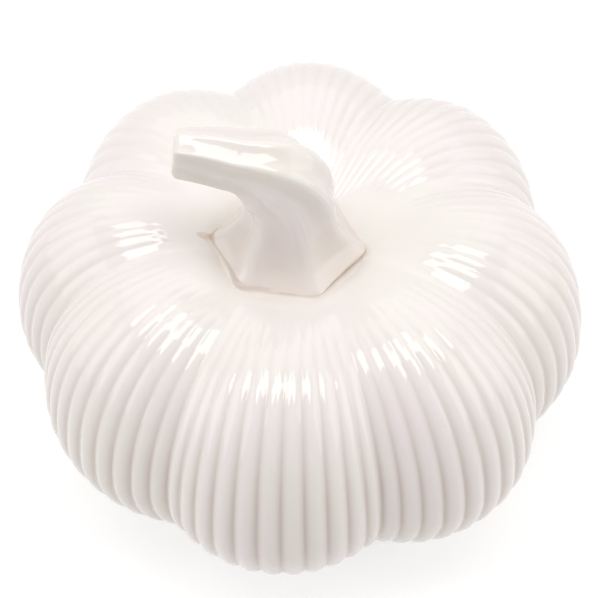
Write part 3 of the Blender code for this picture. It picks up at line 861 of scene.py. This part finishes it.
# %% [markdown]
# ## Floor
#
# The object stands on a pale table. To the light it is white paper. To the camera, and in mirror-like glaze,
# it is a greyer paper that shines by itself, so it reaches white where nothing shades it, and only the soft
# shadow of the object shows on it.

# %% Floor
FLOOR_HALF_WIDTH = 1.25   # metres; behind the side lamps it would look grey
FLOOR_LIFT = 0.68
WHITE = (1.0, 1.0, 1.0, 1.0)


def seen_directly(tree):
    """1 for rays from the camera and from mirror-like surfaces, and 0 for the light that falls on things."""
    path = add_node(tree, "ShaderNodeLightPath", {})
    rays = {0: path.outputs["Is Camera Ray"], 1: path.outputs["Is Glossy Ray"]}
    return add_node(tree, "ShaderNodeMath", rays, operation="MAXIMUM").outputs[0]


floor_paint, tree, out = new_material("white_table")
seen = seen_directly(tree)
paper = add_node(tree, "ShaderNodeBsdfDiffuse", {"Color": linear("#F0F0F0")})
shade = add_node(tree, "ShaderNodeBsdfDiffuse", {"Color": linear("#B4B4B4")})
lift = add_node(tree, "ShaderNodeEmission", {"Color": WHITE, "Strength": FLOOR_LIFT})
white = add_node(tree, "ShaderNodeAddShader", {0: shade.outputs[0], 1: lift.outputs[0]})
mixed = add_node(tree, "ShaderNodeMixShader", {0: seen, 1: paper.outputs[0], 2: white.outputs[0]})
tree.links.new(mixed.outputs[0], out.inputs["Surface"])

form = bmesh.new()
bmesh.ops.create_grid(form, x_segments=1, y_segments=1, size=FLOOR_HALF_WIDTH)
mesh = bpy.data.meshes.new("table")
form.to_mesh(mesh)
form.free()
mesh.materials.append(floor_paint)
table = bpy.data.objects.new("table", mesh)
bpy.context.scene.collection.objects.link(table)
print("floor width, m:", 2.0 * FLOOR_HALF_WIDTH)

# %% [markdown]
# ## Room
#
# The picture was taken in a bright white room. Its even light comes from the world, slightly warm as from
# cream walls. The camera, and mirror-like glaze, see a plain white backdrop instead.

# %% Room
ROOM_COLOUR = (1.0, 0.905, 0.88, 1.0)         # linear light
ROOM_LIGHT = 0.415

world = bpy.data.worlds.new("white_room")
bpy.context.scene.world = world
world.use_nodes = True
tree = world.node_tree
tree.nodes.clear()
out = add_node(tree, "ShaderNodeOutputWorld", {})
seen = seen_directly(tree)
room = add_node(tree, "ShaderNodeBackground", {"Color": ROOM_COLOUR, "Strength": ROOM_LIGHT})
backdrop = add_node(tree, "ShaderNodeBackground", {"Color": WHITE, "Strength": 1.0})
mixed = add_node(tree, "ShaderNodeMixShader", {0: seen, 1: room.outputs[0], 2: backdrop.outputs[0]})
tree.links.new(mixed.outputs[0], out.inputs["Surface"])
print("room:", world.name)

# %% [markdown]
# ## Lamps
#
# Soft boxes stand round the object. The two overhead, side by side, are what the narrow glints on the ribs
# mirror. Those at the two sides rake across the ribs, so that each rib has a light flank and a dark one. The
# one behind lights the back lobes. All of them face the middle of the body, and the camera doesn't see them.

# %% Lamps
LAMPS = {                 # place, width and height in metres, and power in watts
    "overhead_left_softbox": ((-0.33, -0.17, 1.3), (0.47, 0.60), 3.05),
    "overhead_right_softbox": ((0.26, -0.17, 1.3), (0.47, 0.60), 3.05),
    "left_softbox": ((-1.1, -0.1, 0.5), (1.0, 1.0), 2.9),
    "right_softbox": ((1.1, -0.1, 0.5), (1.0, 1.0), 3.1),
    "back_softbox": ((0.0, 0.8, 1.2), (2.2, 1.5), 5.2),
}
aim = Vector((0.0, 0.0, BELLY_Z))
for name, (place, (width, height), power) in LAMPS.items():
    lamp = bpy.data.objects.new(name, bpy.data.lights.new(name, "AREA"))
    lamp.data.shape = "RECTANGLE"
    lamp.data.size, lamp.data.size_y = width, height
    lamp.data.energy = power
    lamp.location = place
    lamp.rotation_euler = (aim - lamp.location).to_track_quat("-Z", "Y").to_euler()
    lamp.visible_camera = False
    bpy.context.scene.collection.objects.link(lamp)
print("lamps:", ", ".join(LAMPS))

# %% [markdown]
# ## View settings
#
# The view settings stay plain, so that a colour looks as it is written.

# %% Finish
bpy.context.scene.view_settings.view_transform = "Standard"
